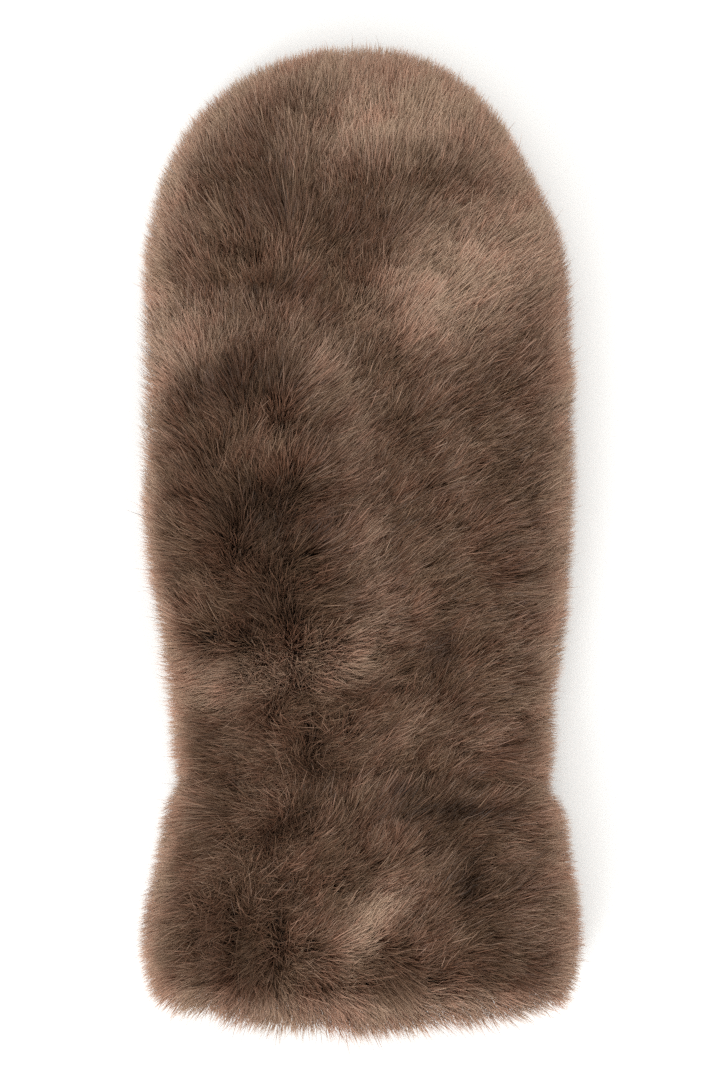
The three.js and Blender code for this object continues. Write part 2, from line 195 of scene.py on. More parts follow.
def centre_height(y):
    """How high the middle of a section lies, before the thumb lifts it."""
    half = table_at(SECTIONS, (y - HEM_Y) / BACKING_LENGTH)[..., 2] / 2
    return PRESSED_PILE + half * (0.5 + 0.5 * open_at((y - ROUND_Y) / TIP_ROUND))


def hand_point(at, angle, grow=0.0):
    """Points of the hand's and the cuff's backing. Grow moves them out of it, or inwards below 0."""
    at, angle = np.broadcast_arrays(at, angle)
    flat_y = ROUND_Y + np.where(at < 0, at * (ROUND_Y - HEM_Y), at * (TIP_ROUND + grow))
    left, right, thick = np.moveaxis(table_at(SECTIONS, (flat_y - HEM_Y) / BACKING_LENGTH), -1, 0)
    corner = np.where(np.sin(angle) < 0, PALM_CORNER, TOP_CORNER)
    across = rounded(np.cos(angle), corner) * open_at(at)
    up = rounded(np.sin(angle), corner) * open_at(at)
    gathered = np.maximum(0, 1 - np.abs(flat_y - WRIST_Y) / GATHER_REACH)
    gather = -GATHER_DEPTH * gathered * (0.5 + 0.5 * np.cos(GATHERS * angle))
    x = across * (np.where(across < 0, left, right) + grow + gather)
    lower = np.clip((WRIST_Y - flat_y) / WRIST_FROM_HEM, 0, 1)
    y = flat_y - HEM_BOW * lower * (1 - across * across)
    rise = up * (thick / 2 + grow + gather)
    dent = np.maximum(0, up) * dent_at(x, y)
    z = centre_height(flat_y) + rise + lift_at(x, y, rise / (HAND_THICKNESS / 2)) - dent
    return np.stack([x, y, z], axis=-1) + MIDDLE


def frame_of(point_at, at, angle):
    """Points of a form with the direction out of it."""
    step = 1e-4
    here = point_at(at, angle)
    ahead = point_at(at + step, angle) - point_at(at - step, angle)
    round_it = point_at(at, angle + step) - point_at(at, angle - step)
    out = np.cross(ahead, round_it)
    size = np.linalg.norm(out, axis=-1, keepdims=True)
    return here, out / np.maximum(size, 1e-12), size[..., 0]


wrist_at = (WRIST_Y - ROUND_Y) / (ROUND_Y - HEM_Y)
top_of_hand, out_of_top, _ = frame_of(hand_point, np.array([-0.3]), np.array([math.pi / 2]))
print("back of the hand, mm:", np.round(top_of_hand[0] / MM, 1), "facing", np.round(out_of_top[0], 2))


# %% The form of the thumb
def thumb_point(at, angle, grow=0.0):
    """Points of the thumb's backing. At is -1 inside the palm, 0 where the end rounds, 1 at the tip."""
    at, angle = np.broadcast_arrays(at, angle)
    straight = THUMB_LENGTH - THUMB_TIP_ROUND
    along = np.where(at < 0, straight * (1 + 1.4 * at), straight + at * (THUMB_TIP_ROUND + grow))
    wide, deep = np.moveaxis(table_at(THUMB_SECTIONS, along / THUMB_LENGTH), -1, 0)
    open_here = open_at(at)
    across = rounded(np.cos(angle), THUMB_CORNER) * open_here * (THUMB_HALF * wide + grow)
    rise = rounded(np.sin(angle), THUMB_CORNER) * open_here * (THUMB_DEEP * deep + grow)
    x = THUMB_ROOT[0] + along * THUMB_AXIS[0] + across * THUMB_AXIS[1]
    y = THUMB_ROOT[1] + along * THUMB_AXIS[1] - across * THUMB_AXIS[0]
    z = PRESSED_PILE + THUMB_DEEP * (0.75 + 0.25 * open_here) + rise
    return np.stack([x, y, z], axis=-1) + MIDDLE


def palm_height(x, y):
    """How high the palm's backing lies over a point of the surface beneath."""
    left, right, thick = np.moveaxis(table_at(SECTIONS, (y - HEM_Y) / BACKING_LENGTH), -1, 0)
    across = np.clip(np.abs(x) / np.where(x < 0, left, right), 0, 1)
    drop = (1 - across ** PALM_CORNER) ** (1 / PALM_CORNER)
    return centre_height(y) - thick / 2 * drop + lift_at(x, y, -drop)


def in_thumb(points):
    """Where points lie inside the thumb's tube."""
    dx, dy = points[..., 0] - MIDDLE[0] - THUMB_ROOT[0], points[..., 1] - MIDDLE[1] - THUMB_ROOT[1]
    along = dx * THUMB_AXIS[0] + dy * THUMB_AXIS[1]
    beside = dx * THUMB_AXIS[1] - dy * THUMB_AXIS[0]
    height = points[..., 2] - PRESSED_PILE - THUMB_DEEP
    wide = (np.abs(beside) / (THUMB_HALF - WALL)) ** THUMB_CORNER
    deep = (np.abs(height) / (THUMB_DEEP - WALL)) ** THUMB_CORNER
    return (wide + deep < 1) & (along > -STEP_LENGTH) & (along < STEP_LENGTH)


thumb_tip = thumb_point(np.array([1.0]), np.array([0.0]))[0]
print("thumb tip, mm:", np.round(thumb_tip / MM, 1))

# %% [markdown]
# ## The surface, the light and the camera
# The mitten lies on a plain white surface and is seen from straight above. A long lens keeps the outline
# free of perspective. Fur shows its shape by its sheen, and hair gleams when light comes from behind the
# way it is combed, so one broad soft light stands low at the lower left. A weaker one hangs nearly
# overhead, and a white sky fills the rest.


# %% Floor, sky and lights
def plain_material(name, colour, roughness):
    material = bpy.data.materials.new(name)
    material.use_nodes = True
    shader = material.node_tree.nodes["Principled BSDF"]
    shader.inputs["Base Color"].default_value = (*colour, 1)
    shader.inputs["Roughness"].default_value = roughness
    return material


bpy.ops.mesh.primitive_plane_add(size=6, location=(0, 0, 0))
floor = bpy.context.object
floor.name = "white_surface"
floor.data.materials.append(plain_material("white_paper", (0.93, 0.93, 0.92), 0.9))

scene = bpy.context.scene
scene.view_settings.view_transform = "Standard"
scene.cycles.use_denoising = False
world = bpy.data.worlds.new("white_sky")
scene.world = world
world.use_nodes = True
world.node_tree.nodes["Background"].inputs["Color"].default_value = (1.0, 0.99, 0.97, 1)
world.node_tree.nodes["Background"].inputs["Strength"].default_value = 1.1


def soft_light(name, azimuth, elevation, distance, size, power):
    """A square area light that looks at the mitten's middle. Azimuth 0 is to its right, 90 above it."""
    turn, tip = math.radians(azimuth), math.radians(elevation)
    light = bpy.data.lights.new(name, "AREA")
    light.size = size
    light.energy = power
    lamp = bpy.data.objects.new(name, light)
    scene.collection.objects.link(lamp)
    lamp.location = (
        distance * math.cos(tip) * math.cos(turn),
        distance * math.cos(tip) * math.sin(turn),
        distance * math.sin(tip),
    )
    aim = -lamp.location
    lamp.rotation_euler = aim.to_track_quat("-Z", "Y").to_euler()


soft_light("low_left_window", 235, 35, 1.6, 0.9, 17)
soft_light("overhead_panel", 60, 75, 1.8, 1.2, 8)

# %% Camera
PHOTO_WIDTH, PHOTO_HEIGHT = 720, 1080
PIXEL = 0.2935 * MM  # one pixel of the photograph, at the height of the mitten's outline
PHOTO_MIDDLE = (362.5, 542)  # where the pattern's own middle lies in the photograph
OUTLINE_HEIGHT = 18 * MM
CAMERA_DISTANCE = 1.7
SENSOR = 36.0

camera_data = bpy.data.cameras.new("straight_above")
camera = bpy.data.objects.new("straight_above", camera_data)
scene.collection.objects.link(camera)
camera.location = (
    MIDDLE[0] + (PHOTO_WIDTH / 2 - PHOTO_MIDDLE[0]) * PIXEL,
    MIDDLE[1] + (PHOTO_MIDDLE[1] - PHOTO_HEIGHT / 2) * PIXEL,
    OUTLINE_HEIGHT + CAMERA_DISTANCE,
)
camera_data.sensor_width = SENSOR
camera_data.lens = SENSOR * CAMERA_DISTANCE / (PHOTO_HEIGHT * PIXEL)
scene.camera = camera
print("lens, mm:", round(camera_data.lens, 1))

# %% [markdown]
# ## The backing cloth
# Under the hair is a knitted backing, with a soft plain lining inside. It shows at the open cuff and as
# the dark ground between the hairs. Each panel is a shell with an outer and an inner face, laid out on
# a grid of the form and joined along its edges, the way a lined panel is turned and sewn.


# %% A helper that turns grids into a lined panel
def grid_faces(rows, columns, start, flip=False, keep=None):
    """The four-cornered faces of a grid of points, numbered from start."""
    r, c = np.meshgrid(np.arange(rows - 1), np.arange(columns - 1), indexing="ij")
    a = start + r * columns + c
    quads = np.stack([a, a + 1, a + columns + 1, a + columns], axis=-1).reshape(-1, 4)
    if keep is not None:
        quads = quads[keep.reshape(-1)]
    return quads[:, ::-1] if flip else quads


def mesh_from(name, points, quads, materials, inner=None):
    mesh = bpy.data.meshes.new(name)
    mesh.from_pydata(points.tolist(), [], quads.tolist())
    for material in materials:
        mesh.materials.append(material)
    if inner is not None:
        mesh.polygons.foreach_set("material_index", inner.astype(np.int32))
    mesh.polygons.foreach_set("use_smooth", np.ones(len(quads), dtype=bool))
    mesh.update()
    piece = bpy.data.objects.new(name, mesh)
    scene.collection.objects.link(piece)
    return piece


def lined_panel(name, point_at, ats, angles, materials, closed=False, keep_face=None):
    """A shell over a grid of the form, its outer face, its lining and the turned edges between them."""
    at, angle = np.meshgrid(ats, angles, indexing="ij")
    outer, lining = point_at(at, angle), point_at(at, angle, -WALL)
    rows, columns = at.shape
    count = rows * columns
    keep = None if keep_face is None else keep_face(outer)
    outer_quads = grid_faces(rows, columns, 0, keep=keep)
    lining_quads = grid_faces(rows, columns, count, flip=True, keep=keep)
    edges = []
    borders = [np.arange(columns)] if closed else [
        np.arange(columns),
        np.arange(rows) * columns + columns - 1,
        (np.arange(rows) * columns)[::-1],
    ]
    for border in borders:
        a, b = border[:-1], border[1:]
        edges.append(np.stack([b, a, a + count, b + count], axis=-1))
    quads = np.concatenate([outer_quads, lining_quads, *edges])
    inner = np.zeros(len(quads), dtype=bool)
    inner[len(outer_quads):] = True
    piece = mesh_from(name, np.concatenate([outer.reshape(-1, 3), lining.reshape(-1, 3)]), quads,
                      materials, inner)
    return piece


# %% [markdown]
# The ground between the hairs is dense dark underfur, so the outer face is a rough deep brown with a fine
# noise bump. The lining is a plain brushed knit: tiny ribs from a wave texture, a little lighter.


# %% Cloth materials
def cloth_material(name, dark, light, scale, bump, kind):
    material = bpy.data.materials.new(name)
    material.use_nodes = True
    nodes, links = material.node_tree.nodes, material.node_tree.links
    shader = nodes["Principled BSDF"]
    shader.inputs["Roughness"].default_value = 0.9
    place = nodes.new("ShaderNodeTexCoord")
    grain = nodes.new("ShaderNodeTexWave" if kind == "ribs" else "ShaderNodeTexNoise")
    grain.inputs["Scale"].default_value = scale
    links.new(place.outputs["Object"], grain.inputs["Vector"])
    colours = nodes.new("ShaderNodeValToRGB")
    colours.color_ramp.elements[0].color = (*dark, 1)
    colours.color_ramp.elements[1].color = (*light, 1)
    links.new(grain.outputs["Fac"], colours.inputs["Fac"])
    links.new(colours.outputs["Color"], shader.inputs["Base Color"])
    relief = nodes.new("ShaderNodeBump")
    relief.inputs["Strength"].default_value = bump
    relief.inputs["Distance"].default_value = 0.4 * MM
    links.new(grain.outputs["Fac"], relief.inputs["Height"])
    links.new(relief.outputs["Normal"], shader.inputs["Normal"])
    return material


underfur = cloth_material("dark_underfur", (0.018, 0.010, 0.007), (0.05, 0.029, 0.02), 1800, 0.6, "felt")
lining_knit = cloth_material(
    "brushed_lining", (0.05, 0.032, 0.023), (0.085, 0.058, 0.043), 320, 0.5, "ribs")
print("cloth materials:", underfur.name, lining_knit.name)

# %% The four panels
AROUND = 96
cloth = (underfur, lining_knit)
hand_ats = np.concatenate([np.linspace(wrist_at, 0, 60), np.linspace(0, 1, 26)[1:] ** 0.9])
side_turn = np.linspace(0, math.pi, AROUND // 2 + 1)

back_cloth = lined_panel("back_panel_cloth", hand_point, hand_ats, side_turn, cloth)
palm_cloth = lined_panel(
    "palm_panel_cloth", hand_point, hand_ats, side_turn + math.pi, cloth,
    keep_face=lambda p: ~in_thumb(p[:-1, :-1]),
)
cuff_cloth = lined_panel(
    "cuff_cloth", hand_point, np.linspace(-1, wrist_at, 28), np.linspace(0, 2 * math.pi, AROUND + 1),
    cloth, closed=True,
)


def below_palm(points):
    """Which of the thumb's faces lie outside the palm that it is sewn into."""
    corners = points[:-1, :-1] - MIDDLE
    return corners[..., 2] < palm_height(corners[..., 0], corners[..., 1]) + 1.5 * MM


thumb_cloth = lined_panel(
    "thumb_cloth", thumb_point, np.concatenate([np.linspace(-1, 0, 40), np.linspace(0, 1, 18)[1:]]),
    np.linspace(0, 2 * math.pi, 49), cloth, closed=True, keep_face=below_palm,
)
for piece, node in ((back_cloth, "back_panel"), (palm_cloth, "palm_panel"),
                    (cuff_cloth, "cuff"), (thumb_cloth, "thumb")):
    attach(piece, "root")
    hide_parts(node)
    print(piece.name, len(piece.data.polygons), "faces")

# %% [markdown]
# ## How the fur is combed
# Hair on a mitten doesn't point one way. It fans out to the fingertips, falls left and right at the
# sides, parts along the middle of the left half and turns down at the hem. A comb chart holds this: each
# row is a line across the mitten, with the place of the parting and five directions in degrees, counted
# from the right and turning up. Directions between the rows are blended as arrows. The line of the parting
# is torn by a ripple, so that tufts from both sides cross it: a smooth line would open into dark stars.

# %% The comb chart
# along the mitten (0 hem, 1 tip), parting across (-1 left, 1 right), then the directions
# at the left edge, left of the parting, right of it, in the middle of the right half, at the right edge
COMB = np.array([
    (0.00, 0.00, 245, 265, -80, -60, -45),  # the hem
    (0.05, -0.40, 215, 240, -60, -30, -20),
    (0.10, -0.60, 195, 205, 25, 50, -5),  # the cuff
    (0.20, -0.50, 185, 200, 35, 50, -10),
    (0.26, -0.30, 190, 180, 60, 40, -5),  # the gathered wrist
    (0.33, -0.40, 185, 165, 20, 50, 0),
    (0.40, -0.45, 170, 150, 40, 35, 15),  # the heel of the hand
    (0.50, -0.55, 155, 130, 45, 35, 20),
    (0.60, -0.60, 140, 110, 55, 45, 25),  # the back of the hand
    (0.70, -0.60, 130, 100, 60, 50, 35),
    (0.80, -0.50, 135, 100, 85, 60, 45),  # the fingers
    (0.90, -0.40, 130, 105, 90, 70, 55),
    (1.00, 0.00, 115, 95, 90, 75, 65),  # the tip
])
PARTING_SOFTNESS = 0.30  # half the width of the parting, as a share of the half hand


def arrow(degrees):
    turn = np.radians(degrees)
    return np.stack([np.cos(turn), np.sin(turn)], axis=-1)


def ripple(points, size, seed):
    """Smooth random waves of about a given size, from -2 to 2, to bend and tint the fur gently."""
    rng = np.random.default_rng(seed)
    total = np.zeros(len(points))
    for _ in range(7):
        way = rng.normal(size=3)
        way *= 2 * math.pi / (size * rng.uniform(0.7, 1.5) * np.linalg.norm(way))
        total += np.sin(points @ way + rng.uniform(0, 2 * math.pi))
    return total / math.sqrt(3.5)


def comb_at(points):
    """The comb's arrow, seen from above, at points of the back: its length says how far the hair leans."""
    x = points[..., 0] - MIDDLE[0] + 3.0 * MM * ripple(points, 15 * MM, 11)
    y = points[..., 1] - MIDDLE[1] + 3.0 * MM * ripple(points, 15 * MM, 12)
    along = np.clip((y + LENGTH / 2) / LENGTH, 0, 1)
    low = np.clip(np.searchsorted(COMB[:, 0], along, side="right") - 1, 0, len(COMB) - 2)
    share = (along - COMB[low, 0]) / (COMB[low + 1, 0] - COMB[low, 0])
    across = x / HAND_HALF
    torn = across + 0.10 * ripple(points, 9 * MM, 14)

    def of_row(row):
        parting, left_edge, left, right, middle, right_edge = (COMB[row, k] for k in range(1, 7))
        to_left = np.clip((parting - across) / (1 + parting), 0, 1)[..., None]
        to_right = np.clip((across - parting) / (1 - parting), 0, 1)
        near = np.clip(2 * to_right, 0, 1)[..., None]
        far = np.clip(2 * to_right - 1, 0, 1)[..., None]
        on_left = arrow(left) * (1 - to_left) + arrow(left_edge) * to_left
        on_right = (arrow(right) * (1 - near) + arrow(middle) * near) * (1 - far) + arrow(right_edge) * far
        side = smooth(torn, parting - PARTING_SOFTNESS, parting + PARTING_SOFTNESS)[..., None]
        return on_left * (1 - side) + on_right * side

    flat = of_row(low) * (1 - share[..., None]) + of_row(low + 1) * share[..., None]
    return np.concatenate([flat, np.zeros((*flat.shape[:-1], 1))], axis=-1)


probe = comb_at(top_of_hand)
print("comb on the back of the hand, degrees:", round(math.degrees(math.atan2(probe[0, 1], probe[0, 0]))))

# %% [markdown]
# ## Painted sheen and shade in the fur
# The fur is painted darker where it parts and in the hollows: painted shade. It is painted a paler,
# pinkish grey where it lies flat and its tips would catch the light: painted sheen. A short chart lists
# these patches: across and along the mitten, their half sizes, their turn, and one of four strengths,
# lighter or darker.

# %% The chart of painted sheen and painted shade
FAINT, PLAIN, STRONG, BRIGHT = 0.10, 0.20, 0.35, 0.60

# across, along, half width, half length (shares of the half hand), turn in degrees, tone: lighter for
# painted sheen, darker for painted shade
# each row paints sheen or shade into the hair's tone: positive rows are painted sheen, negative rows
# painted shade
SHEEN_AND_SHADE_PATCHES = (
    (0.20, 0.93, 0.50, 0.25, 0, BRIGHT),  # painted sheen over the fingertips
    (0.80, 0.85, 0.25, 0.25, 0, PLAIN),
    (0.55, 0.77, 0.50, 0.25, 25, BRIGHT),  # painted sheen along the index finger's side
    (0.45, 0.71, 0.25, 0.15, 0, PLAIN),
    (-0.40, 0.59, 0.08, 0.08, 0, FAINT),
    (0.25, 0.44, 0.10, 0.15, -30, FAINT),
    (0.25, 0.31, 0.06, 0.10, -30, PLAIN),  # painted sheen on strands at the wrist
    (0.65, 0.30, 0.12, 0.05, 30, PLAIN),
    (0.05, 0.30, 0.12, 0.16, 0, FAINT),
    (0.95, 0.27, 0.08, 0.08, 0, PLAIN),
    (1.05, 0.21, 0.06, 0.16, 0, FAINT),
    (-0.40, 0.24, 0.06, 0.10, 0, PLAIN),
    (-0.95, 0.24, 0.10, 0.05, 0, FAINT),
    (0.05, 0.12, 0.10, 0.25, -30, BRIGHT),  # painted sheen on the bright tuft on the cuff
    (-0.50, 0.85, 0.20, 0.20, 0, -PLAIN),  # painted shade in the hollows over the fingers
    (0.25, 0.89, 0.10, 0.07, 0, -FAINT),
    (0.00, 0.81, 0.15, 0.15, 0, -FAINT),
    (-0.45, 0.76, 0.20, 0.06, 0, -PLAIN),
    (-0.65, 0.66, 0.35, 0.15, 30, -STRONG),
    (-0.90, 0.60, 0.12, 0.08, 0, -FAINT),
    (-0.55, 0.53, 0.40, 0.25, 0, -STRONG),  # painted shade along the long parting
    (-0.20, 0.52, 0.10, 0.05, 0, -FAINT),
    (-0.50, 0.42, 0.35, 0.40, 0, -PLAIN),
    (0.75, 0.47, 0.10, 0.05, 25, -FAINT),
    (0.40, 0.39, 0.12, 0.14, 0, -STRONG),
    (-0.30, 0.36, 0.10, 0.10, 0, -PLAIN),
    (0.00, 0.35, 0.15, 0.05, 0, -PLAIN),
    (-0.25, 0.28, 0.12, 0.20, 0, -PLAIN),
    (0.20, 0.25, 0.10, 0.05, 0, -STRONG),  # painted shade in the wrist's crease
    (0.45, 0.23, 0.40, 0.06, 0, -STRONG),
    (-0.45, 0.21, 0.15, 0.08, 30, -STRONG),
    (0.60, 0.18, 0.15, 0.27, 0, -PLAIN),  # painted shade in the hollows of the cuff
    (0.55, 0.15, 0.08, 0.10, 0, -STRONG),
    (-0.70, 0.10, 0.20, 0.28, 0, -PLAIN),
    (0.60, 0.07, 0.35, 0.08, 0, -FAINT),
)


def spots(points, chart):
    """The sum of soft oval spots laid out by a chart, at points of the mitten."""
    x, y = points[..., 0] - MIDDLE[0], points[..., 1] - MIDDLE[1]
    total = 0 * x
    for across, along, wide, long, degrees, strength in chart:
        dx, dy = x / HAND_HALF - across, (y + LENGTH / 2 - along * LENGTH) / HAND_HALF
        c, s = math.cos(math.radians(degrees)), math.sin(math.radians(degrees))
        far = ((dx * c + dy * s) / wide) ** 2 + ((dy * c - dx * s) / long) ** 2
        total = total + strength * np.exp(-1.1 * far)
    return total


# where the fur is left longer or trimmed shorter, to follow the outline and the creases in the photograph:
# across, along, half width, half length, turn, then the share of the pile to add
TRIMS = (
    (-1.00, 0.275, 0.35, 0.24, 0, 0.24),
    (1.00, 0.275, 0.35, 0.24, 0, 0.22),
    (0.98, 0.035, 0.26, 0.14, 0, 0.34),
    (-1.00, 0.060, 0.20, 0.14, 0, 0.10),
    (0.85, 0.870, 0.25, 0.34, 30, -0.20),
    (1.00, 0.640, 0.25, 0.30, 0, -0.10),
    (-0.95, 0.480, 0.20, 0.24, 0, 0.12),
    (0.20, 1.000, 0.24, 0.10, 0, -0.10),
    (-0.36, 1.000, 0.14, 0.10, 0, -0.12),
    (0.45, 0.245, 0.42, 0.035, -4, -0.40),
    (-0.28, 0.218, 0.16, 0.05, 20, -0.36),
    (0.40, 0.385, 0.10, 0.14, 30, -0.22),
)
print("patches:", len(SHEEN_AND_SHADE_PATCHES), "trims:", len(TRIMS))

# %% [markdown]
# ## Growing the hair
# Blender's own hair would do, but it can't leave the program as a mesh. So each hair is a thin leaf of
# two triangles, narrow at its root and its tip, and arrays make all of them at once. A blade starts
# upright and bends over the way it is combed. Neighbours lean together into tufts, small ones inside
# larger ones: this is what makes fur look like fur, and not like a brush.


# %% Scattering roots evenly
def scatter(point_at, count, at_range, angle_range, seed, density=None):
    """Roots spread by area over a stretch of a form, with the direction out of the cloth at each."""
    rng = np.random.default_rng(seed)
    tries = 6 * count
    at = rng.uniform(*at_range, tries)
    angle = rng.uniform(*angle_range, tries)
    roots, out, area = frame_of(point_at, at, angle)
    weight = area * (1 if density is None else density(roots, out))
    chosen = np.flatnonzero(rng.uniform(0, np.quantile(weight, 0.995), tries) < weight)
    if len(chosen) > count:
        chosen = chosen[:count]
    return roots[chosen], out[chosen], rng


def cell_noise(cells, seed):
    """Three steady random numbers from 0 to 1 for each cell of a lattice."""
    mixed = (cells.astype(np.int64) * np.array([73856093, 19349663, 83492791])).sum(-1) + seed * 2654435761
    numbers = []
    for turn in (1, 2, 3):
        value = (mixed + turn * 0x9E3779B9) & 0xFFFFFFFF
        value = ((value ^ (value >> 16)) * 0x45D9F3B) & 0xFFFFFFFF
        value = ((value ^ (value >> 16)) * 0x45D9F3B) & 0xFFFFFFFF
        numbers.append((value ^ (value >> 16)) / 0xFFFFFFFF)
    return np.stack(numbers, axis=-1)


def tuft_of(roots, size, seed):
    """The middle of the tuft that each root belongs to, and that tuft's own random numbers."""
    cell = np.floor(roots / size)
    nearest = np.full(len(roots), np.inf)
    middle = np.zeros_like(roots)
    own = np.zeros_like(roots)
    for step in np.ndindex(3, 3, 3):
        other = cell + (np.array(step) - 1)
        there = (other + cell_noise(other, seed)) * size
        far = np.linalg.norm(roots - there, axis=-1)
        closer = far < nearest
        nearest[closer] = far[closer]
        middle[closer] = there[closer]
        own[closer] = cell_noise(other, seed + 101)[closer]
    return middle, own


# %% One array of blades
STEPS = np.array([0.0, 0.52, 1.0])  # root, bend and tip, as shares of the hair's length
DYES = 3
SMALL_TUFT = 2.4 * MM
LARGE_TUFT = 8.0 * MM
LOWEST = 0.25 * MM  # no hair goes through the surface that the mitten lies on


def unit(vectors):
    return vectors / np.maximum(np.linalg.norm(vectors, axis=-1, keepdims=True), 1e-9)


def grow(roots, out, comb, rim, rng, pile, reach, seed):
    """Spines of the hairs, three points each: upright at the root and bent over the comb's way."""
    small, small_own = tuft_of(roots, SMALL_TUFT, seed)
    large, large_own = tuft_of(roots, LARGE_TUFT, seed + 1)
    tufted = 1 - 0.9 * rim  # the fringe is loose and even
    swirl = 0.14 * ripple(roots, 24 * MM, 5) + 0.12 * ripple(roots, 9 * MM, 6)
    swirl += tufted * (0.22 * (small_own[:, 0] - 0.5) + 0.24 * (large_own[:, 0] - 0.5))
    lean = comb * np.cos(swirl)[:, None] + np.cross(out, comb) * np.sin(swirl)[:, None]
    lean *= (1 + 0.16 * ripple(roots, 17 * MM, 7))[:, None]
    loose = 1 - np.clip(np.linalg.norm(comb, axis=-1, keepdims=True), 0, 1)
    lean += (0.20 + 0.45 * loose) * rng.normal(size=roots.shape)
    lean -= out * np.sum(lean * out, axis=-1, keepdims=True)
    spread = 0.27 + 0.20 * rim
    length = 1.05 - spread * rng.random(len(roots)) + 0.10 * tufted * (small_own[:, 1] - 0.5)
    stray = rng.random(len(roots)) < 0.04 * tufted
    length[stray] *= 1.25
    uneven = 0.16 * (large_own[:, 2] - 0.5) + 0.06 * ripple(roots, 15 * MM, 8)
    height = pile * length * (0.95 + tufted * uneven)
    run = reach * length * (1 + 0.3 * tufted * (small_own[:, 2] - 0.5))
    spine = np.empty((len(roots), len(STEPS), 3))
    for k, t in enumerate(STEPS):
        point = roots + out * (height * (1 - (1 - t) ** 1.7))[:, None]
        point = point + lean * (run * t ** 1.45)[:, None]
        for middle, pull in ((small, 0.14), (large, 0.07)):
            aside = middle - roots
            aside -= out * np.sum(aside * out, axis=-1, keepdims=True)
            point = point + aside * (tufted * pull * t ** 1.5)[:, None]
        point[:, 2] -= 1.2 * MM * t * t * (1 - np.abs(out[:, 2]))
        spine[:, k] = point
    spine[:, 1] += 0.35 * MM * rng.normal(size=roots.shape)
    spine[..., 2] = np.maximum(spine[..., 2], LOWEST)
    tuft_tone = 0.16 * (small_own[:, 0] - 0.5) + 0.06 * (large_own[:, 1] - 0.5)
    tuft_tone += 0.03 * ripple(roots, 11 * MM, 9)
    dye = ripple(roots, 10 * MM, 13) + 0.8 * rng.normal(size=len(roots)) + 1.5 * (small_own[:, 1] - 0.5)
    return spine, tuft_tone, np.digitize(dye, (-0.7, 0.7))


def blades(name, spine, out, width, tone, dye, material, rng):
    """A mesh of leaf-shaped blades along spines: two triangles each, widest at the bend. Its UV map
    holds each hair's tone, and in one of three bands for its dye, how far along it a corner lies."""
    count = len(spine)
    run = unit(spine[:, 2] - spine[:, 0])
    flat = unit(np.cross(run, out) + 1e-6)
    roll = rng.uniform(-0.8, 0.8, count)[:, None]
    side = unit(flat * np.cos(roll) + np.cross(run, flat) * np.sin(roll))
    half = side * (0.5 * width * (0.75 + 0.5 * rng.random(count)))[:, None]
    points = np.stack([spine[:, 0], spine[:, 1] - half, spine[:, 1] + half, spine[:, 2]], axis=1)
    loops = (np.arange(count)[:, None] * 4 + np.array([0, 2, 1, 1, 2, 3])).reshape(-1)
    mesh = bpy.data.meshes.new(name)
    mesh.vertices.add(count * 4)
    mesh.vertices.foreach_set("co", points.astype(np.float32).reshape(-1))
    mesh.loops.add(count * 6)
    mesh.loops.foreach_set("vertex_index", loops.astype(np.int32))
    mesh.polygons.add(count * 2)
    mesh.polygons.foreach_set("loop_start", np.arange(0, count * 6, 3, dtype=np.int32))
    mesh.polygons.foreach_set("use_smooth", np.ones(count * 2, dtype=bool))
    half_texel = 1.6 / 1024
    u = np.clip(tone, 0.01, 0.99)[:, None] + half_texel * np.array([0, 1, -1, -1, 1, 0])
    v = (dye[:, None] + 0.02 + 0.96 * STEPS[[0, 1, 1, 1, 1, 2]]) / DYES
    chart = mesh.uv_layers.new(name="OFBake")
    chart.data.foreach_set("uv", np.stack([u, v], axis=-1).astype(np.float32).reshape(-1))
    mesh.materials.append(material)
    mesh.update(calc_edges=True)
    piece = bpy.data.objects.new(name, mesh)
    scene.collection.objects.link(piece)
    return piece


# %% [markdown]
# ## The colour of one hair
# A fake-fur fibre is dark at the root and paler at the tip, and each fibre is a shade of its own: some are
# dyed redder, some more olive. The UV map holds all of it: across it the hair's tone, which also carries
# the painted sheen, painted shade and painted light at the rim, and up it, in three bands for the three
# dyes, how far along the hair a point lies. Colour ramps turn these into colour.


# %% The fur material
def ramp(nodes, stops):
    node = nodes.new("ShaderNodeValToRGB")
    elements = node.color_ramp.elements
    while len(elements) < len(stops):
        elements.new(0.5)
    for element, (place, colour) in zip(elements, stops):
        element.position = place
        element.color = (*colour, 1)
    return node


